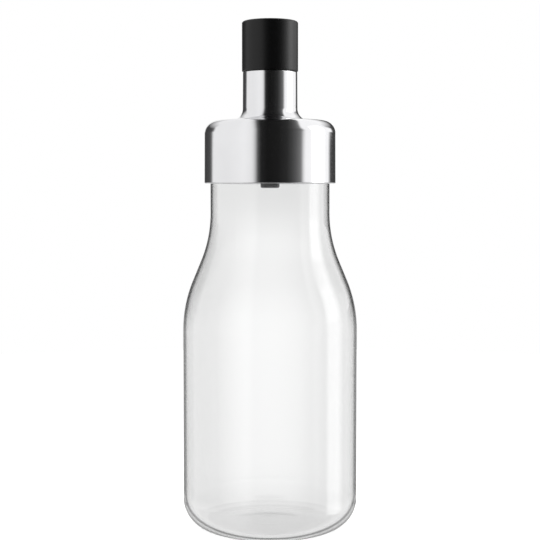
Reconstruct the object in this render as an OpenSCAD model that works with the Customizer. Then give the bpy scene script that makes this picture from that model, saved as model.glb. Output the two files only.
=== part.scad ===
// Glass dressing shaker: a carafe, a lift-off steel lid with a pouring plug, and a black cap.
// Millimetres, +Z up. The origin is the centre of the foot ring, on the table.

/* [Glass carafe] */
// Outer diameter of the body
body_d = 70; // [66:0.5:76]
// How much the body narrows towards the foot, on the radius
body_draft = 0.05; // [0:0.05:0.5]
// Outer diameter of the neck
neck_d = 47.8; // [46:0.2:50]
// Height of the rim above the table
glass_h = 157.5; // [150:0.5:180]
// From the rim down to the corner between neck and shoulder
neck_h = 40.6; // [36:0.2:46]
// Angle of the shoulder from the vertical
shoulder_angle = 22.5; // [19:0.5:28]
// Radius of the hollow sweep from the neck into the shoulder
neck_sweep = 50.7; // [30:0.1:54]
// Radius of the full sweep from the shoulder into the body
shoulder_sweep = 52; // [30:0.1:54]
// Thickness of the glass wall
glass_wall = 2; // [1.6:0.1:2.4]
// Thickness of the base beside the heel
base_t = 2.2; // [2:0.1:3.6]
// Rise of the inner floor at its middle
floor_crown = 0.3; // [0:0.1:0.8]
// Radius of the heel
heel_r = 12; // [9:0.5:13]
// Width of the flat ring that the carafe stands on
foot_w = 1.4; // [1:0.1:2.5]
// Rise of the dish under the base
punt_rise = 0.4; // [0.2:0.1:0.6]
// Rise at each moulded ring under the base
ring_step = 0.2; // [0.1:0.05:0.3]
// Diameter of the outer moulded ring
outer_ring_d = 25; // [22:0.5:32]
// Diameter of the inner moulded ring
inner_ring_d = 17; // [12:0.5:19]

/* [Steel lid] */
// Gap between the glass neck and the inside of the steel skirt
skirt_gap = 1.8; // [1.4:0.1:2.4]
// Thickness of the drawn steel
sheet = 0.6; // [0.4:0.05:0.8]
// Height of the skirt, from its lower edge to the top of the shoulder
skirt_h = 25.8; // [22:0.2:30]
// Height of the steel shoulder above the gasket
shoulder_rise = 4.9; // [4.5:0.1:7]
// Radius of the shoulder's outer edge
shoulder_edge = 5; // [3:0.1:6]
// Fall of the shoulder from the neck to its edge
shoulder_fall = 0.5; // [0:0.1:1]
// Outer diameter of the steel neck at its top
steel_neck_d = 21.8; // [21:0.1:24]
// Height of the steel neck above the shoulder
steel_neck_h = 19.2; // [16:0.2:26]
// Radius of the hollow at the foot of the steel neck
neck_fillet = 4.8; // [2:0.1:6]
// How much each drawn wall widens downwards, on the radius
draw_draft = 0.1; // [0:0.05:0.2]
// Thickness of the hem folded inside the skirt's lower edge
hem_t = 1.2; // [0.9:0.1:1.4]
// Height of that hem
hem_h = 1.6; // [1.2:0.1:3]

/* [Plug and seals] */
// Thickness of the gasket on the glass rim
gasket_t = 1.5; // [1:0.1:2.5]
// From the top of the gasket down to the plug's lower face
plug_depth = 18.5; // [15:0.1:20]
// Thickness of the plug's wall
plug_wall = 2; // [1.5:0.1:3]
// Thickness of the plug's floor
plug_floor = 2; // [1.5:0.1:3]
// How far the plug's wall stands up into the liner
socket_h = 2.1; // [1.2:0.1:2.2]
// Outer diameter of the boss round the pouring tube
boss_d = 12; // [11:0.5:16]
// Height of that boss above the plug's floor
boss_h = 5.5; // [4:0.5:8]
// Thickness of the ribs between boss and wall
rib_t = 1.6; // [1:0.1:2.5]
// Number of those ribs
ribs = 6; // [3:1:8]
// Thickness of the seal's sleeve
sleeve_t = 0.85; // [0.6:0.05:1.2]
// How far each sealing lip stands out of the sleeve
lip_reach = 1.15; // [0.6:0.05:1.4]
// Height of a sealing lip at its root
lip_h = 2.6; // [1.6:0.1:3]
// Number of sealing lips
lips = 3; // [2:1:4]
// Height of the ledge that keeps the sleeve on the plug
ledge_h = 1.2; // [0.8:0.1:2]

/* [Pouring tube and spout] */
// Outer diameter of the pouring tube
tube_d = 7.7; // [7:0.1:8.5]
// Bore of the pouring tube
tube_bore = 5.3; // [4.4:0.1:5.5]
// How far the tube stands out below the plug
tube_tip = 3.7; // [2:0.1:8]
// Thickness of the tube's stop ring
stop_t = 1.5; // [1:0.1:2.5]
// How far that stop ring stands out of the tube
stop_reach = 1.4; // [0.8:0.1:1.6]
// Outer diameter of the spout
spout_d = 17.8; // [17:0.1:18.2]
// Height of the spout above the steel neck
spout_h = 12.1; // [10:0.1:13]
// Thickness of the spout's wall
spout_wall = 0.6; // [0.5:0.05:0.8]
// Length of the spout's shank inside the steel neck
shank_h = 9; // [6:0.5:12]
// Thickness of the flange that holds the spout down
flange_t = 1.2; // [0.8:0.1:2]
// Wall of the liner in the steel neck
liner_wall = 1.8; // [1.5:0.1:2.2]
// Slope length of the funnel, measured along the axis
funnel_h = 5; // [4:0.1:6]
// Height of the funnel's upright rim
funnel_rim = 2.5; // [1.5:0.1:3]
// Wall of the funnel
funnel_wall = 1.2; // [1:0.1:1.6]
// Diameter of the air holes in the funnel and the plug's floor
air_hole_d = 1.6; // [1:0.1:2]

/* [Cap] */
// How far the cap stands out over the steel neck, on the radius
cap_overhang = 0.32; // [0.1:0.02:0.8]
// Height of the cap
cap_h = 20.1; // [19:0.1:25]
// Thickness of the cap's wall
cap_wall = 1.5; // [1.4:0.05:1.6]
// Thickness of the cap's roof
cap_roof = 2.2; // [1.5:0.1:3]
// Rounding of the cap's top edge
cap_edge = 0.9; // [0.3:0.1:1.4]
// Thickness of the ring that grips the spout
grip_d = 1.5; // [1:0.1:1.6]
// Height of that ring above the cap's lower edge
grip_up = 4.4; // [2.5:0.1:7]
// How far the stopper reaches into the spout
stopper_depth = 4.2; // [3:0.1:4.5]
// Thickness of the stopper's end
stopper_end = 2.4; // [1.5:0.1:3]
// Diameter of the peg that carries the stopper
peg_d = 7.8; // [6:0.2:10]
// How far each bead stands out of the stopper
bead_reach = 0.5; // [0.2:0.1:0.8]

/* [Fits] */
// Radial clearance of what slides when the lid or the cap is lifted
running_gap = 0.05; // [0.02:0.01:0.09]
// Clearance between pieces that are stacked or pushed together
seat_gap = 0.1; // [0.05:0.01:0.15]
// Rounding of small moulded edges
edge = 0.3; // [0.1:0.05:0.35]
// Rounding of edges that are handled
soft_edge = 0.5; // [0.2:0.05:0.55]

/* [Hidden] */
$fn = 96;
// Furthest that a drawn arc may lie from the true one
chord = 0.006;

// Carafe
body_r = body_d / 2;
neck_r = neck_d / 2;
neck_in_r = neck_r - glass_wall;
neck_corner_z = glass_h - neck_h;
body_corner_z = neck_corner_z - (body_r - neck_r) / tan(shoulder_angle);
foot_r = body_r - body_draft - heel_r;
rim_round = glass_wall * 0.48;

// Levels of the lid
seat_z = glass_h + gasket_t;
shoulder_z = seat_z + shoulder_rise;
skirt_z = shoulder_z - skirt_h;
steel_top_z = shoulder_z + steel_neck_h;
plug_z = seat_z - plug_depth;
floor_z = plug_z + plug_floor;
boss_z = floor_z + boss_h;
plug_top_z = seat_z + socket_h;
flange_top_z = steel_top_z - sheet - seat_gap;
flange_z = flange_top_z - flange_t;
liner_top_z = flange_z - seat_gap;
shank_z = flange_z - shank_h;

// Radii of the lid
skirt_r = neck_r + skirt_gap + sheet;
steel_neck_r = steel_neck_d / 2;
spout_r = spout_d / 2;
spout_in_r = spout_r - spout_wall;
lip_r = neck_in_r - running_gap;
sleeve_r = lip_r - lip_reach;
plug_r = sleeve_r - sleeve_t;
plug_in_r = plug_r - plug_wall;
ledge_r = sleeve_r + edge;
tube_r = tube_d / 2;
boss_r = boss_d / 2;
liner_in_r = steel_neck_r - sheet - seat_gap - liner_wall;

// Pouring tube and spout
spout_top_z = steel_top_z + spout_h;
stopper_z = spout_top_z - stopper_depth;
funnel_top_z = stopper_z - 5 * seat_gap;
funnel_rim_z = funnel_top_z - funnel_rim;
funnel_z = funnel_rim_z - funnel_h;
funnel_r = spout_in_r - running_gap;
funnel_in_r = funnel_r - funnel_wall;
air_hole_r = (tube_r + funnel_in_r) / 2 + edge;

// Cap
cap_z = steel_top_z;
cap_r = steel_neck_r + cap_overhang;
cap_in_r = cap_r - cap_wall;
cap_top_z = cap_z + cap_h;
roof_z = cap_top_z - cap_roof;
grip_z = cap_z + grip_up;
grip_r = spout_r + running_gap + grip_d / 2;
groove_r = grip_r + grip_d / 2 + running_gap;
bead_r = spout_in_r - running_gap;
stopper_r = bead_r - bead_reach;
peg_r = peg_d / 2;
peg_z = stopper_z + stopper_end;

// Outlines are lists of corners, [radius from the axis, height, rounding], and no rounding is 0.
function at(c) = [c[0], c[1]];
function unit(v) = v / norm(v);
function turn(a, b) = a[0] * b[1] - a[1] * b[0];
function around(list, i) = list[(i + len(list)) % len(list)];

// Length that the rounding of corner i takes from each of its two sides
function taken(c, i) =
    let (
        to_last = at(around(c, i - 1)) - at(c[i]),
        to_next = at(around(c, i + 1)) - at(c[i]),
        half = acos(max(-1, min(1, unit(to_last) * unit(to_next)))) / 2
    )
    len(c[i]) < 3 || c[i][2] <= 0 || half > 89.9 ? 0 : c[i][2] / tan(half);

// Points of the arc that rounds corner i, smaller where its sides are too short
function corner_arc(c, i) =
    let (
        n = len(c),
        to_last = at(around(c, i - 1)) - at(c[i]),
        to_next = at(around(c, i + 1)) - at(c[i]),
        half = acos(max(-1, min(1, unit(to_last) * unit(to_next)))) / 2,
        want = taken(c, i),
        before = want + taken(c, (i + n - 1) % n),
        after = want + taken(c, (i + 1) % n),
        room = min(1, 0.999 * norm(to_last) / max(before, chord), 0.999 * norm(to_next) / max(after, chord)),
        r = want * room * tan(half)
    )
    want == 0 ? [at(c[i])] :
    let (
        centre = at(c[i]) + unit(unit(to_last) + unit(to_next)) * r / sin(half),
        start = at(c[i]) + unit(to_last) * want * room - centre,
        first = atan2(start[1], start[0]),
        sweep = sign(turn(-to_last, to_next)) * (180 - 2 * half),
        steps = max(2, ceil(abs(sweep) / (2 * acos(1 - min(0.5, chord / r)))))
    )
    [for (k = [0 : steps]) centre + r * [cos(first + sweep * k / steps), sin(first + sweep * k / steps)]];

function rounded(c) = [for (i = [0 : len(c) - 1]) each corner_arc(c, i)];

// The same line moved by t to the left of its way, with its roundings kept parallel
function left_of(a, b) = let (way = unit(at(b) - at(a))) [-way[1], way[0]];
function inset(c, t) = [
    for (i = [0 : len(c) - 1])
        let (
            last = len(c) - 1,
            n1 = i == 0 ? left_of(c[0], c[1]) : left_of(c[i - 1], c[i]),
            n2 = i == last ? n1 : left_of(c[i], c[i + 1]),
            moved = at(c[i]) + t * (n1 + n2) / (1 + n1 * n2),
            closer = turn(n1, n2) > 0 ? -t : t
        )
        [moved[0], moved[1], c[i][2] > 0 ? max(0, c[i][2] + closer) : 0]
];

module turned(corners) rotate_extrude() polygon(rounded(corners));

// Outside of the glass wall, from the heel up to the rim
wall_line = [
    [body_r - body_draft, 0, heel_r],
    [body_r, body_corner_z, shoulder_sweep],
    [neck_r, neck_corner_z, neck_sweep],
    [neck_r, glass_h, rim_round]
];

// Outside of the drawn steel, from the skirt's lower edge up to the spout
steel_line = [
    [skirt_r, skirt_z, soft_edge],
    [skirt_r - draw_draft, shoulder_z - shoulder_fall, shoulder_edge],
    [steel_neck_r + draw_draft, shoulder_z, neck_fillet],
    [steel_neck_r, steel_top_z, soft_edge],
    [spout_r + running_gap, steel_top_z, 0]
];

// Carafe with swept shoulder, fire-polished rim, even wall and a dished base with moulded rings
module glass_bottle() {
    inner = inset(wall_line, glass_wall);
    base = [
        [0, punt_rise + 2 * ring_step, 0],
        [inner_ring_d / 2, punt_rise + 2 * ring_step, ring_step],
        [inner_ring_d / 2 + ring_step, punt_rise + ring_step, ring_step],
        [outer_ring_d / 2, punt_rise + ring_step, ring_step],
        [outer_ring_d / 2 + ring_step, punt_rise, ring_step],
        [foot_r - foot_w, 0, foot_w]
    ];
    hollow = [
        [inner[3][0], glass_h, rim_round],
        inner[2],
        inner[1],
        [inner[0][0], base_t, heel_r - glass_wall],
        [0, base_t + floor_crown, 0]
    ];
    color([0.86, 0.93, 0.92, 0.45]) turned(concat(base, wall_line, hollow));
}

// Deep-drawn steel cover: skirt with a folded hem, rounded shoulder and narrow neck
module lid_shell() {
    inner = inset(steel_line, sheet);
    hem = [
        [inner[1][0] + draw_draft, skirt_z + hem_h, edge],
        [skirt_r - hem_t, skirt_z + hem_h, edge],
        [skirt_r - hem_t, skirt_z, soft_edge]
    ];
    folded = [for (i = [len(inner) - 1 : -1 : 1]) inner[i]];
    color([0.78, 0.79, 0.80]) turned(concat(steel_line, folded, hem));
}

// Black liner that backs the steel shoulder and neck, and carries the plug
module neck_liner() {
    back = inset(steel_line, sheet + seat_gap);
    color([0.10, 0.10, 0.11]) rotate_extrude() difference() {
        intersection() {
            polygon(rounded(concat(back, [[0, back[4][1], 0], [0, back[0][1], 0]])));
            translate([0, seat_z]) square([skirt_r, liner_top_z - seat_z]);
        }
        // Bore, seat of the spout's shank, and socket of the plug
        translate([0, seat_z - soft_edge]) square([liner_in_r, liner_top_z - seat_z + 2 * soft_edge]);
        translate([0, shank_z - seat_gap]) square([spout_r + running_gap, liner_top_z - shank_z + soft_edge]);
        translate([0, seat_z - soft_edge])
            square([plug_r + running_gap, socket_h + seat_gap + soft_edge]);
    }
}

// Black plug: a ribbed cup that hangs in the glass neck
module lid_plug() {
    bore_r = tube_r + running_gap / 2;
    color([0.12, 0.12, 0.13]) difference() {
        union() {
            turned([
                [bore_r, plug_z, edge],
                [ledge_r, plug_z, soft_edge],
                [ledge_r, plug_z + ledge_h, edge],
                [plug_r, plug_z + ledge_h, 0],
                [plug_r, plug_top_z, edge],
                [plug_in_r, plug_top_z, edge],
                [plug_in_r, floor_z, 2 * soft_edge],
                [boss_r, floor_z, 2 * edge],
                [boss_r, boss_z, edge],
                [bore_r, boss_z, edge]
            ]);
            for (i = [0 : ribs - 1]) rotate(360 * i / ribs)
                translate([boss_r - edge, -rib_t / 2, floor_z - edge])
                    cube([plug_in_r - boss_r + 2 * edge, rib_t, boss_h - soft_edge]);
        }
        rotate(180 / ribs) translate([(boss_r + plug_in_r) / 2, 0, plug_z - edge])
            cylinder(d = air_hole_d, h = plug_floor + 2 * edge);
    }
}

// Silicone sleeve on the plug, with lips that bear on the glass
module neck_seal() {
    low = plug_z + ledge_h + running_gap;
    high = glass_h - seat_gap;
    pitch = (high - low) / lips;
    lip_line = [
        for (i = [0 : lips - 1])
            let (z = low + pitch * (i + 0.5))
            each [
                [sleeve_r, z - lip_h / 2, edge],
                [lip_r, z - lip_h / 8, edge],
                [lip_r, z + lip_h / 4, edge],
                [sleeve_r, z + lip_h / 2, edge]
            ]
    ];
    color([0.20, 0.20, 0.21]) turned(concat(
        [[plug_r + running_gap, low, 0], [sleeve_r, low, edge]],
        lip_line,
        [[sleeve_r, high, edge], [plug_r + running_gap, high, 0]]
    ));
}

// Flat silicone washer between the glass rim and the liner
module rim_gasket() {
    color([0.22, 0.22, 0.23]) turned([
        [plug_r + seat_gap, glass_h, edge],
        [neck_r + skirt_gap / 2, glass_h, edge],
        [neck_r + skirt_gap / 2, seat_z, edge],
        [plug_r + seat_gap, seat_z, edge]
    ]);
}

// Black pouring tube: its tip shows below the plug, and its funnel fills the spout
module pour_tube() {
    bore = tube_bore / 2;
    color([0.07, 0.07, 0.08]) difference() {
        turned([
            [bore, plug_z - tube_tip, edge],
            [tube_r, plug_z - tube_tip, 2 * soft_edge - edge],
            [tube_r, boss_z, 0],
            [tube_r + stop_reach, boss_z, edge],
            [tube_r + stop_reach, boss_z + stop_t, edge],
            [tube_r, boss_z + stop_t, edge],
            [tube_r, funnel_z, funnel_h / 2],
            [funnel_r, funnel_rim_z, funnel_h / 2],
            [funnel_r, funnel_top_z, edge],
            [funnel_in_r, funnel_top_z, edge],
            [funnel_in_r, funnel_rim_z, funnel_h / 2],
            [bore, funnel_z, funnel_h / 2]
        ]);
        translate([air_hole_r, 0, funnel_z - edge])
            cylinder(d = air_hole_d, h = funnel_h + funnel_rim);
    }
}

// Steel spout with a thin lip, held by a flange under the turned-in edge of the steel neck
module pour_lip() {
    color([0.74, 0.75, 0.77]) turned([
        [spout_in_r, shank_z, 0],
        [spout_r, shank_z, 0],
        [spout_r, flange_z, 0],
        [steel_neck_r - sheet - seat_gap, flange_z, edge],
        [steel_neck_r - sheet - seat_gap, flange_top_z, edge],
        [spout_r, flange_top_z, 0],
        [spout_r, spout_top_z, spout_wall * 0.6],
        [spout_in_r, spout_top_z, spout_wall * 0.3]
    ]);
}

// Black cap: a deep cup with a groove for its grip ring and a peg for its stopper
module cap_shell() {
    color([0.08, 0.08, 0.09]) turned([
        [0, cap_top_z, 0],
        [cap_r, cap_top_z, cap_edge],
        [cap_r, cap_z, soft_edge],
        [cap_in_r, cap_z, edge],
        [cap_in_r, grip_z - grip_d / 2 - running_gap, 0],
        [groove_r, grip_z - grip_d / 2 - running_gap, 0],
        [groove_r, grip_z + grip_d / 2 + running_gap, 0],
        [cap_in_r, grip_z + grip_d / 2 + running_gap, 0],
        [cap_in_r, roof_z, 2 * soft_edge],
        [peg_r, roof_z, 0],
        [peg_r, peg_z, edge],
        [0, peg_z, 0]
    ]);
}

// Silicone stopper on the cap's peg, with two beads that seal the spout
module cap_stopper() {
    bead_h = stopper_depth / 3;
    color([0.20, 0.20, 0.21]) turned([
        [0, stopper_z, 0],
        [stopper_r, stopper_z, soft_edge],
        [stopper_r, stopper_z + bead_h / 2, edge],
        [bead_r, stopper_z + bead_h * 3 / 4, edge],
        [bead_r, stopper_z + bead_h * 5 / 4, edge],
        [stopper_r, stopper_z + bead_h * 3 / 2, edge],
        [bead_r, stopper_z + bead_h * 2, edge],
        [bead_r, stopper_z + bead_h * 5 / 2, edge],
        [stopper_r, stopper_z + bead_h * 3, edge],
        [stopper_r, roof_z - seat_gap / 2, edge],
        [peg_r + running_gap, roof_z - seat_gap / 2, 0],
        [peg_r + running_gap, peg_z - running_gap, 0],
        [0, peg_z - running_gap, 0]
    ]);
}

// Silicone ring in the cap's groove, which grips the spout
module cap_ring() {
    color([0.22, 0.22, 0.23]) translate([0, 0, grip_z])
        rotate_extrude() translate([grip_r, 0]) circle(d = grip_d);
}

glass_bottle();
lid_shell();
neck_liner();
lid_plug();
neck_seal();
rim_gasket();
pour_tube();
pour_lip();
cap_shell();
cap_stopper();
cap_ring();
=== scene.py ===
import math

import bpy
import numpy as np
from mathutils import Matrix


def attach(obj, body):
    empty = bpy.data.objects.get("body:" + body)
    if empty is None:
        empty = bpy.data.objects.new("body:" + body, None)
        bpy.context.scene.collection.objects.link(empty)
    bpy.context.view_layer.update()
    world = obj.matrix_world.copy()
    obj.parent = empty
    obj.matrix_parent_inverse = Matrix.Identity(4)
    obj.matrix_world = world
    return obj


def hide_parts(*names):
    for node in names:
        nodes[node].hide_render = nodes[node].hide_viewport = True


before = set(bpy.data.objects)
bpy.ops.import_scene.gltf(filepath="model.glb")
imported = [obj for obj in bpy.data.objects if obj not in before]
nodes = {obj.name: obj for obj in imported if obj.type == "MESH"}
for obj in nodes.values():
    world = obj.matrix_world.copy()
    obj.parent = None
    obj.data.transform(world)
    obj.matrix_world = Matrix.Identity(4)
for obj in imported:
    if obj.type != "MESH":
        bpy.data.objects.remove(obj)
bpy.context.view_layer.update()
print("frame loaded:", len(nodes), "nodes")

mm = 0.001

# Camera: nearly level with the lower edge of the steel, a little shift and pitch, no depth of field
cameraSet = {
    "lens": 86.57,
    "sensor": 36,
    "distance": 521.7 * mm,  # from the bottle's axis
    "height": 134.4 * mm,
    "pitch": 2.282,  # degrees below level
    "shift": -0.045,
    "nearest": 0.01,
    "furthest": 20,
}


def makeCamera(c):
    data = bpy.data.cameras.new("photoCamera")
    data.sensor_width = c["sensor"]
    data.lens = c["lens"]
    data.shift_y = c["shift"]
    data.clip_start = c["nearest"]
    data.clip_end = c["furthest"]
    cam = bpy.data.objects.new("photoCamera", data)
    cam.location = (0, -c["distance"], c["height"])
    cam.rotation_euler = (math.radians(90 - c["pitch"]), 0, 0)
    bpy.context.scene.collection.objects.link(cam)
    bpy.context.scene.camera = cam


makeCamera(cameraSet)
bpy.context.scene.view_settings.view_transform = "Standard"
print("camera placed")


# Small helpers for node trees
def grey(level):
    return (level, level, level)


def addNode(tree, kind, **values):
    node = tree.nodes.new(kind)
    for key, value in values.items():
        setattr(node, key, value)
    return node


def calc(tree, operation, *values):
    node = addNode(tree, "ShaderNodeMath", operation=operation)
    for i, value in enumerate(values):
        if isinstance(value, (int, float)):
            node.inputs[i].default_value = value
        else:
            tree.links.new(value, node.inputs[i])
    return node.outputs[0]


# Stops are (position, grey level or colour)
def ramp(tree, value, stops):
    node = addNode(tree, "ShaderNodeValToRGB")
    bar = node.color_ramp
    while len(bar.elements) > 1:
        bar.elements.remove(bar.elements[-1])
    for i, (place, level) in enumerate(stops):
        stop = bar.elements[0] if i == 0 else bar.elements.new(place)
        stop.position = place
        colour = level if isinstance(level, (tuple, list)) else grey(level)
        stop.color = (*colour, 1)
    tree.links.new(value, node.inputs[0])
    return node.outputs[0]


def mixColour(tree, share, first, second, mode="MIX"):
    node = addNode(tree, "ShaderNodeMix", data_type="RGBA", blend_type=mode)
    for socket, value in ((node.inputs[0], share), (node.inputs[6], first), (node.inputs[7], second)):
        if isinstance(value, (int, float)):
            socket.default_value = value
        elif isinstance(value, (tuple, list)):
            socket.default_value = (*value, 1)
        else:
            tree.links.new(value, socket)
    return node.outputs[2]


# Studio: a large soft box on each side, a dark room in front that narrows overhead, dark cards behind.
# Turns are in degrees, 0 towards the camera; heights are the vertical part of the direction.
studio = {
    # dark gap between the soft boxes: its sides at the horizon in front, as parts of the width
    "gapLeft": -0.40,
    "gapRight": 0.87,
    "gapTurn": 0.6,  # how soon the gap narrows on its way overhead
    "gapLeast": 0.03,
    # brightness across the gap (0 left side, 1 right side) and on the soft boxes beside it
    "acrossFrom": -1.0,
    "acrossTo": 2.0,
    "across": [
        (-1.0, 1.15), (-0.45, 1.15), (-0.25, 1.22), (-0.12, 1.15), (-0.07, 1.0), (-0.03, 0.7), (0.03, 0.12),
        (0.1, 0.02), (0.25, 0.009), (0.5, 0.013), (0.7, 0.03), (0.8, 0.07), (0.88, 0.13), (0.95, 0.24),
        (0.975, 0.48), (0.995, 0.98), (1.025, 1.33), (1.08, 1.35), (2.0, 1.35),
    ],
    "top": 2.0,  # ramps hold levels up to 1, so the brighter ones of the boxes are scaled by this
    # level of the cards by turn, how far round the boxes reach, and where the boxes take over by height
    "behind": [
        (-180, 1.0), (-170, 1.0), (-164, 0.08), (-150, 0.06), (-131, 0.09), (-120, 0.3), (120, 0.2),
        (134, 0.08), (158, 0.05), (166, 0.1), (172, 1.0), (180, 1.0),
    ],
    "sides": [(-124, 0.0), (-117, 1.0), (121, 1.0), (131, 0.0)],
    "overhead": [(0.28, 0.0), (0.6, 1.0)],
    # at the narrow neck's height the boxes reach further back on the right, less far on the left
    "leanHeight": [(0.053, 0.0), (0.066, 1.0), (0.25, 1.0), (0.4, 0.0)],
    "leanRight": 14.0,
    "leanLeft": 5.0,
    "gapLean": 0.5,
    # brighter middle of the right soft box
    "strip": [(77, 0.0), (84, 1.0), (99, 1.0), (112, 0.0)],
    "stripHeight": [(-0.4, 0.0), (-0.34, 0.75), (0.03, 0.75), (0.08, 1.0), (0.4, 1.0), (0.6, 0.0)],
    "stripGain": 3.7,
    # the pale table: its share below the horizon, except where the room is dark down to the floor
    "table": 0.95,
    "tableShare": [(-0.1, 0.45), (-0.01, 0.0)],
    "frontGap": [(-35, 1.0), (-22, 0.0), (55, 0.0), (66, 1.0)],
    # the table far behind, which clear glass mirrors further round than the brushed steel
    "farBrushed": [(-155, 1.0), (-145, 0.0), (145, 0.0), (155, 1.0)],
    "farClear": [(-118, 1.0), (-110, 0.0), (110, 0.0), (118, 1.0)],
    "farHeight": [(-0.3, 1.0), (-0.22, 0.0)],
    # seen through the glass, by height
    "through": [
        (-1.0, 0.9), (-0.35, 0.9), (-0.27, 0.92), (-0.21, 0.98), (-0.1, 1.0), (-0.04, 0.97), (-0.015, 0.86),
        (0.0, 0.82), (0.2, 0.82), (1.0, 0.85),
    ],
    "ambient": 0.85,
    "backdrop": 1.0,
}


def makeStudio(s):
    world = bpy.data.worlds.new("studio")
    bpy.context.scene.world = world
    world.use_nodes = True
    tree = world.node_tree
    tree.nodes.clear()
    path = addNode(tree, "ShaderNodeLightPath")
    way = addNode(tree, "ShaderNodeTexCoord").outputs["Generated"]
    split = addNode(tree, "ShaderNodeSeparateXYZ")
    tree.links.new(way, split.inputs[0])
    x, y, z = split.outputs
    front = calc(tree, "MULTIPLY", y, -1)
    turn = calc(tree, "ADD", calc(tree, "DIVIDE", calc(tree, "ARCTAN2", x, front), 2 * math.pi), 0.5)
    black = grey(0)

    def byTurn(stops, place=turn):
        return ramp(tree, place, [(degrees / 360 + 0.5, level) for degrees, level in stops])

    def byHeight(stops):
        height = calc(tree, "MULTIPLY_ADD", z, 0.5, 0.5)
        return ramp(tree, height, [(h / 2 + 0.5, level) for h, level in stops])

    right = calc(tree, "GREATER_THAN", x, 0.0)
    lean = calc(tree, "MULTIPLY_ADD", right, (s["leanRight"] - s["leanLeft"]) / 360, s["leanLeft"] / 360)
    lean = calc(tree, "MULTIPLY", lean, byHeight(s["leanHeight"]))

    # the dark gap narrows overhead, from the horizon in front to low behind
    over = calc(tree, "ARCTAN2", calc(tree, "MAXIMUM", z, 0.0), front)
    narrow = calc(tree, "COSINE", calc(tree, "MULTIPLY", over, s["gapTurn"]))
    place = calc(tree, "DIVIDE", x, calc(tree, "MAXIMUM", narrow, s["gapLeast"]))
    place = calc(tree, "DIVIDE", calc(tree, "SUBTRACT", place, s["gapLeft"]), s["gapRight"] - s["gapLeft"])
    place = calc(tree, "SUBTRACT", place, calc(tree, "MULTIPLY", lean, s["gapLean"]))
    start, span = s["acrossFrom"], s["acrossTo"] - s["acrossFrom"]
    place = calc(tree, "DIVIDE", calc(tree, "SUBTRACT", place, start), span)
    boxes = ramp(tree, place, [((t - start) / span, level / s["top"]) for t, level in s["across"]])
    boxes = mixColour(tree, 1.0, boxes, grey(s["top"]), "MULTIPLY")

    leaned = calc(tree, "SUBTRACT", turn, lean)
    low = mixColour(tree, byTurn(s["sides"], leaned), byTurn(s["behind"], leaned), boxes)
    glossy = mixColour(tree, byHeight(s["overhead"]), low, boxes)
    share = mixColour(tree, byTurn(s["frontGap"]), black, byHeight(s["tableShare"]))
    glossy = mixColour(tree, share, glossy, grey(s["table"]))
    far = mixColour(tree, path.outputs["Is Singular Ray"], byTurn(s["farBrushed"]), byTurn(s["farClear"]))
    far = mixColour(tree, far, black, byHeight(s["farHeight"]))
    glossy = mixColour(tree, far, glossy, grey(s["table"]))
    strip = mixColour(tree, byTurn(s["strip"]), black, grey(s["stripGain"]))
    strip = mixColour(tree, byHeight(s["stripHeight"]), black, strip)
    glossy = mixColour(tree, 1.0, glossy, strip, "ADD")

    level = mixColour(tree, path.outputs["Is Glossy Ray"], grey(s["ambient"]), glossy)
    level = mixColour(tree, path.outputs["Is Transmission Ray"], level, byHeight(s["through"]))
    level = mixColour(tree, path.outputs["Is Camera Ray"], level, grey(s["backdrop"]))
    back = addNode(tree, "ShaderNodeBackground")
    tree.links.new(level, back.inputs["Color"])
    out = addNode(tree, "ShaderNodeOutputWorld")
    tree.links.new(back.outputs[0], out.inputs["Surface"])


makeStudio(studio)

floorSet = {"radius": 0.6, "corners": 96, "colour": 0.8, "glow": 0.8}


def makeFloor(f):
    bpy.ops.mesh.primitive_circle_add(vertices=f["corners"], radius=f["radius"], fill_type="TRIFAN")
    floor = bpy.context.object
    floor.name = "studioFloor"
    floor.visible_glossy = False
    floor.visible_transmission = False
    mat = bpy.data.materials.new("paleFloor")
    mat.use_nodes = True
    tree = mat.node_tree
    tree.nodes.clear()
    matte = addNode(tree, "ShaderNodeBsdfDiffuse")
    matte.inputs["Color"].default_value = (*grey(f["colour"]), 1)
    glow = addNode(tree, "ShaderNodeEmission")
    seen = addNode(tree, "ShaderNodeLightPath").outputs["Is Camera Ray"]
    tree.links.new(calc(tree, "MULTIPLY", seen, f["glow"]), glow.inputs["Strength"])
    both = addNode(tree, "ShaderNodeAddShader")
    tree.links.new(matte.outputs[0], both.inputs[0])
    tree.links.new(glow.outputs[0], both.inputs[1])
    out = addNode(tree, "ShaderNodeOutputMaterial")
    tree.links.new(both.outputs[0], out.inputs["Surface"])
    floor.data.materials.append(mat)


makeFloor(floorSet)
print("studio built")

straight = math.radians(89.9)  # half angle from which a corner counts as straight
onAxis = 1e-6  # mm from the axis within which a point lies on it
shortest = 1e-9  # mm, so that no length is divided by nothing


# Turned pieces: outlines are corners (radius, height, rounding) in mm, turned about the axis
def cornerShape(corners, i):
    here = np.array(corners[i][:2], float)
    last = np.array(corners[i - 1][:2], float) - here
    following = np.array(corners[(i + 1) % len(corners)][:2], float) - here
    last /= np.linalg.norm(last)
    following /= np.linalg.norm(following)
    half = math.acos(max(-1, min(1, float(last @ following)))) / 2
    return half, last, following


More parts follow.
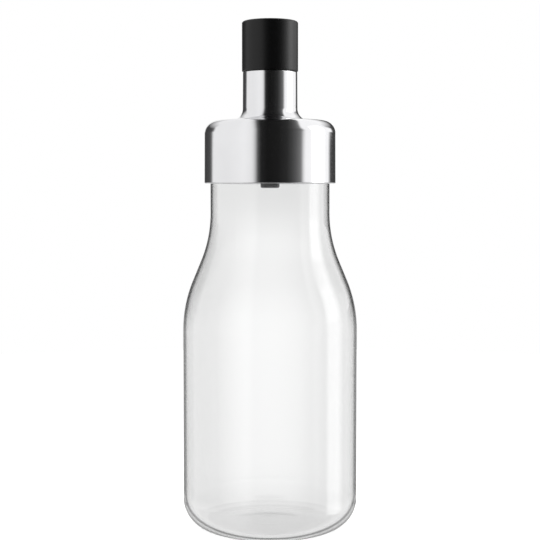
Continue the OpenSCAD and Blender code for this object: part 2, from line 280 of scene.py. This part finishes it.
# A corner's fourth value marks the inside of a piece, where clear glass gets none of the painted edge shade
def roundCorners(corners, stepDegrees, leastSteps=3):
    points, marks = [], []
    for i, (r, z, rounding, *mark) in enumerate(corners):
        here = np.array((r, z), float)
        half, last, following = cornerShape(corners, i)
        if rounding <= 0 or half > straight:
            points.append(here)
            marks.append(mark[0] if mark else 0)
            continue
        taken = rounding / math.tan(half)
        middle = last + following
        centre = here + middle / np.linalg.norm(middle) * rounding / math.sin(half)
        start = here + last * taken - centre
        first = math.atan2(start[1], start[0])
        side = last[1] * following[0] - last[0] * following[1]
        sweep = math.copysign(math.pi - 2 * half, side)
        steps = max(leastSteps, math.ceil(abs(math.degrees(sweep)) / stepDegrees))
        for k in range(steps + 1):
            angle = first + sweep * k / steps
            points.append(centre + rounding * np.array((math.cos(angle), math.sin(angle))))
            marks.append(mark[0] if mark else 0)
    return points, marks


# Extra points on long straight runs, so that a mesh has even faces
def splitLong(points, marks, longest):
    out, outMarks = [], []
    for i, here in enumerate(points):
        following = points[(i + 1) % len(points)]
        count = max(1, int(np.linalg.norm(following - here) / longest))
        if here[0] < onAxis and following[0] < onAxis:
            count = 1
        for k in range(count):
            out.append(here + (following - here) * k / count)
            outMarks.append(marks[i])
    return out, outMarks


def turnedMesh(name, corners, segments=240, sharp=30.0, longest=8.0, stepDegrees=3.0):
    points, marks = splitLong(*roundCorners(corners, stepDegrees), longest)
    count = len(points)
    area = sum(
        points[i - 1][0] * points[i][1] - points[i][0] * points[i - 1][1] for i in range(count)
    )
    if area < 0:
        points.reverse()
        marks.reverse()
    normals = []
    for i in range(count):
        way = points[(i + 1) % count] - points[i]
        length = np.linalg.norm(way)
        normals.append((np.array((way[1], -way[0])) / max(length, shortest), length))

    # normal at point i for the face that leaves it (own = i) or reaches it (own = i - 1)
    def cornerNormal(i, own):
        (before, lengthBefore), (after, lengthAfter) = normals[i - 1], normals[i]
        if float(before @ after) < math.cos(math.radians(sharp)):
            return normals[own][0]
        both = before * lengthBefore + after * lengthAfter
        return both / np.linalg.norm(both)

    verts, ring, inside = [], [], []
    for (r, z), mark in zip(points, marks):
        ring.append(len(verts))
        if r < onAxis:
            verts.append((0, 0, z * mm))
            inside.append(mark)
            continue
        inside += [mark] * segments
        for k in range(segments):
            angle = 2 * math.pi * k / segments
            verts.append((r * math.cos(angle) * mm, r * math.sin(angle) * mm, z * mm))
    faces, loopNormals = [], []
    for i in range(count):
        j = (i + 1) % count
        fromAxis, toAxis = points[i][0] < onAxis, points[j][0] < onAxis
        if fromAxis and toAxis:
            continue
        low, high = cornerNormal(i, i), cornerNormal(j, i)
        for k in range(segments):
            after = (k + 1) % segments
            a, b = 2 * math.pi * k / segments, 2 * math.pi * (k + 1) / segments
            if fromAxis:
                corner = [(ring[i], low, (a + b) / 2), (ring[j] + after, high, b), (ring[j] + k, high, a)]
            elif toAxis:
                corner = [(ring[i] + k, low, a), (ring[i] + after, low, b), (ring[j], high, (a + b) / 2)]
            else:
                corner = [
                    (ring[i] + k, low, a), (ring[i] + after, low, b),
                    (ring[j] + after, high, b), (ring[j] + k, high, a),
                ]
            faces.append([vert for vert, _, _ in corner])
            loopNormals += [
                (normal[0] * math.cos(angle), normal[0] * math.sin(angle), normal[1])
                for _, normal, angle in corner
            ]
    mesh = bpy.data.meshes.new(name)
    mesh.from_pydata(verts, [], faces)
    mesh.shade_smooth()
    mesh.normals_split_custom_set(loopNormals)
    if any(inside):
        mesh.attributes.new("inside", "FLOAT", "POINT").data.foreach_set("value", inside)
    mesh.update()
    return mesh


def turnedPiece(name, corners, material, body, replaced, slot, **shape):
    piece = bpy.data.objects.new(name, turnedMesh(name, corners, **shape))
    bpy.context.scene.collection.objects.link(piece)
    piece.data.materials.append(material)
    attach(piece, body)
    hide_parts(replaced)
    return piece


# The line moved by t to the left of its way, its roundings kept parallel
def insetLine(line, t):
    out = []
    ways = []
    for here, following in zip(line[:-1], line[1:]):
        way = np.array(following[:2], float) - np.array(here[:2], float)
        way /= np.linalg.norm(way)
        ways.append(np.array((-way[1], way[0])))
    for i, (r, z, rounding) in enumerate(line):
        before = ways[max(i - 1, 0)]
        after = ways[min(i, len(ways) - 1)]
        moved = np.array((r, z)) + t * (before + after) / (1 + float(before @ after))
        turnsLeft = before[0] * after[1] - before[1] * after[0] > 0
        kept = max(0, rounding - t if turnsLeft else rounding + t) if rounding else 0
        out.append((moved[0], moved[1], kept))
    return out


# Materials
def newMaterial(name):
    mat = bpy.data.materials.new(name)
    mat.use_nodes = True
    tree = mat.node_tree
    return mat, tree, tree.nodes["Principled BSDF"]


def noise(tree, scale, detail=2.0, stretch=(1, 1, 1)):
    where = addNode(tree, "ShaderNodeTexCoord").outputs["Object"]
    mapping = addNode(tree, "ShaderNodeMapping")
    mapping.inputs["Scale"].default_value = stretch
    tree.links.new(where, mapping.inputs[0])
    grain = addNode(tree, "ShaderNodeTexNoise")
    grain.inputs["Scale"].default_value = scale
    grain.inputs["Detail"].default_value = detail
    tree.links.new(mapping.outputs[0], grain.inputs["Vector"])
    return grain.outputs["Fac"]


# Most of a noise lies between these values
noiseLow, noiseHigh = 0.3, 0.7


def mottle(tree, grain, low, high):
    return ramp(tree, grain, [(noiseLow, low), (noiseHigh, high)])


def bump(tree, shader, height, strength, distance):
    node = addNode(tree, "ShaderNodeBump")
    node.inputs["Strength"].default_value = strength
    node.inputs["Distance"].default_value = distance
    tree.links.new(height, node.inputs["Height"])
    tree.links.new(node.outputs[0], shader.inputs["Normal"])


glassLook = {
    "ior": 1.5,
    "plain": (0.995, 0.997, 0.996),  # inside, underside and wherever light leaves
    # painted shade where light enters from the air: the glass darker in bands towards its edges, from
    # facing the eye (0) to edge on (1)
    "wall": [
        (0.0, 1.0), (0.06, 0.96), (0.124, 0.90), (0.216, 0.825), (0.35, 0.80), (0.56, 0.79), (0.63, 0.83),
        (0.68, 0.80), (0.72, 0.64), (0.75, 0.32), (0.80, 0.18), (0.86, 0.17), (0.91, 0.35), (0.95, 0.6),
        (1.0, 0.7),
    ],
    # painted shade at the narrow neck: darker towards its edges, by facing
    "neck": [
        (0.0, 0.96), (0.2, 0.95), (0.4, 0.94), (0.56, 0.93), (0.64, 0.86), (0.69, 0.66), (0.74, 0.3),
        (0.80, 0.17), (1.0, 0.17),
    ],
    "neckFrom": 95.0,  # mm above the table
    "neckTo": 138.0,
    # the thick heel: a painted dark line that leaves the edge, with light glass outside it
    "heel": [
        (0.0, 0.9), (0.5, 0.88), (0.68, 0.88), (0.73, 0.8), (0.77, 0.3), (0.81, 0.18), (0.85, 0.44),
        (0.89, 0.88), (1.0, 0.94),
    ],
    "heelShift": 0.22,
    "heelBlend": 3.0,  # how soon the heel's painted dark line takes over
    "heelFrom": 5.0,
    "heelTo": 16.0,
    "floorPaintedShade": 0.87,  # painted shade on the thick floor: a little greyer
    "floorLow": 2.55,
    "floorHigh": 2.85,
}


def clearGlass(g):
    mat, tree, shader = newMaterial("clearGlass")
    shader.inputs["Transmission Weight"].default_value = 1.0
    shader.inputs["IOR"].default_value = g["ior"]
    shader.inputs["Roughness"].default_value = 0.0
    layer = addNode(tree, "ShaderNodeLayerWeight")
    layer.inputs["Blend"].default_value = 0.5
    facing = layer.outputs["Facing"]
    where = addNode(tree, "ShaderNodeSeparateXYZ")
    tree.links.new(addNode(tree, "ShaderNodeTexCoord").outputs["Object"], where.inputs[0])

    # a level of glass colour and painted shade counts as its square here, because light takes only the root
    # of the colour at each surface
    def byFacing(stops, angle=facing):
        return ramp(tree, angle, [(f, tintAndPaintedShade * tintAndPaintedShade) for f, tintAndPaintedShade in stops])

    # from one level at a height in mm to another further up
    def rising(low, high, lowLevel, highLevel, top):
        height = calc(tree, "DIVIDE", where.outputs["Z"], top * mm)
        return ramp(tree, height, [(low / top, lowLevel), (high / top, highLevel)])

    # painted shade: dark bands by facing on the wall, the neck and the heel
    low = rising(g["heelFrom"], g["heelTo"], 1.0, 0.0, g["heelTo"])
    heel = byFacing(g["heel"], calc(tree, "MULTIPLY_ADD", low, g["heelShift"], facing))
    heelShare = calc(tree, "MINIMUM", calc(tree, "MULTIPLY", low, g["heelBlend"]), 1.0)
    tintAndPaintedShade = mixColour(tree, heelShare, byFacing(g["wall"]), heel)
    high = rising(g["neckFrom"], g["neckTo"], 0.0, 1.0, g["neckTo"])
    tintAndPaintedShade = mixColour(tree, high, tintAndPaintedShade, byFacing(g["neck"]))
    leaving = addNode(tree, "ShaderNodeNewGeometry").outputs["Backfacing"]
    hollow = addNode(tree, "ShaderNodeAttribute", attribute_name="inside").outputs["Fac"]
    # painted shade under the thick floor: greyer below floorLow, the plain clear colour above
    plain = rising(g["floorLow"], g["floorHigh"], grey(g["floorPaintedShade"]), g["plain"], g["heelFrom"])
    tintAndPaintedShade = mixColour(tree, calc(tree, "MAXIMUM", leaving, hollow), tintAndPaintedShade, plain)
    tree.links.new(tintAndPaintedShade, shader.inputs["Base Color"])
    return mat


steelLook = {
    "tones": ((0.66, 0.66, 0.67), (0.69, 0.69, 0.70)),
    "toneScale": 60,
    "toneDetail": 3,
    "spunScale": 900,  # fine rings left by turning
    "spunStretch": (0.02, 0.02, 1),
    "roughness": (0.085, 0.11),
    "anisotropic": 0.5,
    "anisotropicTurn": 0.25,
}


def polishedSteel(s):
    mat, tree, shader = newMaterial("polishedSteel")
    shader.inputs["Metallic"].default_value = 1.0
    tone = mottle(tree, noise(tree, s["toneScale"], s["toneDetail"]), *s["tones"])
    tree.links.new(tone, shader.inputs["Base Color"])
    spun = noise(tree, s["spunScale"], stretch=s["spunStretch"])
    tree.links.new(mottle(tree, spun, *s["roughness"]), shader.inputs["Roughness"])
    shader.inputs["Anisotropic"].default_value = s["anisotropic"]
    shader.inputs["Anisotropic Rotation"].default_value = s["anisotropicTurn"]
    tangent = addNode(tree, "ShaderNodeTangent", direction_type="RADIAL", axis="Z")
    tree.links.new(tangent.outputs[0], shader.inputs["Tangent"])
    return mat


# Dark mouldings: tones from low to high, a roughness and a fine grain
mouldings = {
    "matteBlack": {
        "tones": ((0.002, 0.002, 0.0022), (0.0035, 0.0035, 0.0037)), "toneScale": 700, "rough": 0.36,
        "shine": 0.27, "grain": 2600, "strength": 0.25, "depth": 0.00006,
    },
    "blackNylon": {
        "tones": (0.012, 0.02), "toneScale": 300, "rough": 0.38,
        "shine": 0.5, "grain": 1800, "strength": 0.2, "depth": 0.00005,
    },
    "glossBlack": {
        "tones": (0.008, 0.012), "toneScale": 300, "rough": 0.12,
        "shine": 0.5, "grain": 600, "strength": 0.2, "depth": 0.00005,
    },
    "darkSilicone": {
        "tones": (0.035, 0.05), "toneScale": 300, "rough": 0.55,
        "shine": 0.5, "grain": 900, "strength": 0.2, "depth": 0.00005,
    },
}
mouldingDetail = 3


def moulding(name):
    look = mouldings[name]
    mat, tree, shader = newMaterial(name)
    tone = mottle(tree, noise(tree, look["toneScale"], mouldingDetail), *look["tones"])
    tree.links.new(tone, shader.inputs["Base Color"])
    shader.inputs["Roughness"].default_value = look["rough"]
    shader.inputs["Specular IOR Level"].default_value = look["shine"]
    bump(tree, shader, noise(tree, look["grain"]), look["strength"], look["depth"])
    return mat


glass = clearGlass(glassLook)
steel = polishedSteel(steelLook)
capBlack = moulding("matteBlack")
nylon = moulding("blackNylon")
glossBlack = moulding("glossBlack")
silicone = moulding("darkSilicone")
print("materials made")

# Glass carafe. The underside's rings are flatter than the CAD's, because steep ones show as dark arcs.
carafe = {
    "bodyRadius": 34.98, "footDraft": 0.05, "neckRadius": 23.9, "rimHeight": 157.5,
    "neckCorner": 116.9, "slope": 22.5, "neckSweep": 50.7, "shoulderSweep": 52.0,
    "wall": 2.0, "rimRounding": 0.96, "base": 2.2, "crown": 0.3, "heel": 12.0, "foot": 1.4,
    "dish": 0.16, "ring": 0.05, "outerRing": 12.5, "innerRing": 8.5, "ringSlope": 2.4, "ringSoft": 20.0,
}


def carafeOutline(c):
    shoulder = c["neckCorner"] - (c["bodyRadius"] - c["neckRadius"]) / math.tan(math.radians(c["slope"]))
    footRadius = c["bodyRadius"] - c["footDraft"]
    wall = [
        (footRadius, 0, c["heel"]),
        (c["bodyRadius"], shoulder, c["shoulderSweep"]),
        (c["neckRadius"], c["neckCorner"], c["neckSweep"]),
        (c["neckRadius"], c["rimHeight"], c["rimRounding"]),
    ]
    inner = insetLine(wall, c["wall"])
    outerStep = c["dish"] + c["ring"]
    innerStep = outerStep + c["ring"]
    halfSlope, soft = c["ringSlope"] / 2, c["ringSoft"]
    underside = [
        (0, innerStep, 0, 1),
        (c["innerRing"] - halfSlope, innerStep, soft, 1),
        (c["innerRing"] + halfSlope, outerStep, soft, 1),
        (c["outerRing"] - halfSlope, outerStep, soft, 1),
        (c["outerRing"] + halfSlope, c["dish"], soft, 1),
        (footRadius - c["heel"] - c["foot"], 0, c["foot"], 1),
    ]
    hollow = [
        (inner[3][0], c["rimHeight"], c["rimRounding"], 1),
        (*inner[2], 1),
        (*inner[1], 1),
        (inner[0][0], c["base"], c["heel"] - c["wall"], 1),
        (0, c["base"] + c["crown"], 0, 1),
    ]
    return underside + wall + hollow


turnedPiece("glassCarafe", carafeOutline(carafe), glass, "bottle", "glass_bottle", "clear_glass",
            segments=320, longest=4.0, stepDegrees=1.5)

# Steel cover: skirt, shoulder and neck
cover = {
    "skirtRadius": 26.3, "skirtLow": 138.5, "shoulderHigh": 163.9, "fall": 0.5, "edge": 5.0,
    "neckRadius": 10.9, "neckTop": 183.1, "fillet": 4.8, "draft": 0.1, "sheet": 0.6,
    "hem": 1.2, "hemHeight": 1.6, "spoutHole": 8.95, "lip": 0.5, "small": 0.3,
}


def coverOutline(c):
    line = [
        (c["skirtRadius"], c["skirtLow"], c["lip"]),
        (c["skirtRadius"] - c["draft"], c["shoulderHigh"] - c["fall"], c["edge"]),
        (c["neckRadius"] + c["draft"], c["shoulderHigh"], c["fillet"]),
        (c["neckRadius"], c["neckTop"], c["lip"]),
        (c["spoutHole"], c["neckTop"], 0),
    ]
    inner = insetLine(line, c["sheet"])
    hem = [
        (inner[1][0] + c["draft"], c["skirtLow"] + c["hemHeight"], c["small"]),
        (c["skirtRadius"] - c["hem"], c["skirtLow"] + c["hemHeight"], c["small"]),
        (c["skirtRadius"] - c["hem"], c["skirtLow"], c["lip"]),
    ]
    return line + inner[:0:-1] + hem


turnedPiece("steelCover", coverOutline(cover), steel, "lid", "lid_shell", "polished_steel",
            segments=320, longest=4.0, stepDegrees=2.0)

# Black cap
cap = {
    "radius": 11.22, "low": 183.1, "high": 203.2, "edge": 0.9, "foot": 0.5, "wall": 1.5, "roof": 2.2,
    "roofRounding": 1.0, "grooveLow": 186.7, "grooveHigh": 188.3, "groove": 10.5, "peg": 3.9,
    "pegLow": 193.4, "small": 0.3,
}


def capOutline(c):
    inside = c["radius"] - c["wall"]
    roof = c["high"] - c["roof"]
    return [
        (0, c["high"], 0),
        (c["radius"], c["high"], c["edge"]),
        (c["radius"], c["low"], c["foot"]),
        (inside, c["low"], c["small"]),
        (inside, c["grooveLow"], 0),
        (c["groove"], c["grooveLow"], 0),
        (c["groove"], c["grooveHigh"], 0),
        (inside, c["grooveHigh"], 0),
        (inside, roof, c["roofRounding"]),
        (c["peg"], roof, 0),
        (c["peg"], c["pegLow"], c["small"]),
        (0, c["pegLow"], 0),
    ]


turnedPiece("blackCap", capOutline(cap), capBlack, "cap", "cap_shell", "matte_black", longest=3.0)

# Steel spout under the cap
spout = {
    "radius": 8.9, "wall": 0.6, "low": 172.2, "high": 195.2, "flange": 10.2,
    "flangeLow": 181.2, "flangeHigh": 182.4, "small": 0.3, "lipOutside": 0.36, "lipInside": 0.18,
}


def spoutOutline(c):
    inside = c["radius"] - c["wall"]
    return [
        (inside, c["low"], 0),
        (c["radius"], c["low"], 0),
        (c["radius"], c["flangeLow"], 0),
        (c["flange"], c["flangeLow"], c["small"]),
        (c["flange"], c["flangeHigh"], c["small"]),
        (c["radius"], c["flangeHigh"], 0),
        (c["radius"], c["high"], c["lipOutside"]),
        (inside, c["high"], c["lipInside"]),
    ]


turnedPiece("steelSpout", spoutOutline(spout), steel, "lid", "pour_lip", "polished_steel", longest=3.0)
print("turned pieces built")

# Finishes of the pieces that stay as the CAD has them
finishes = {
    "neck_liner": nylon,
    "lid_plug": nylon,
    "neck_seal": silicone,
    "rim_gasket": silicone,
    "pour_tube": glossBlack,
    "cap_stopper": silicone,
    "cap_ring": silicone,
}
for name, finish in finishes.items():
    kept = nodes[name].data
    kept.materials.clear()
    kept.materials.append(finish)
print("finishes set")
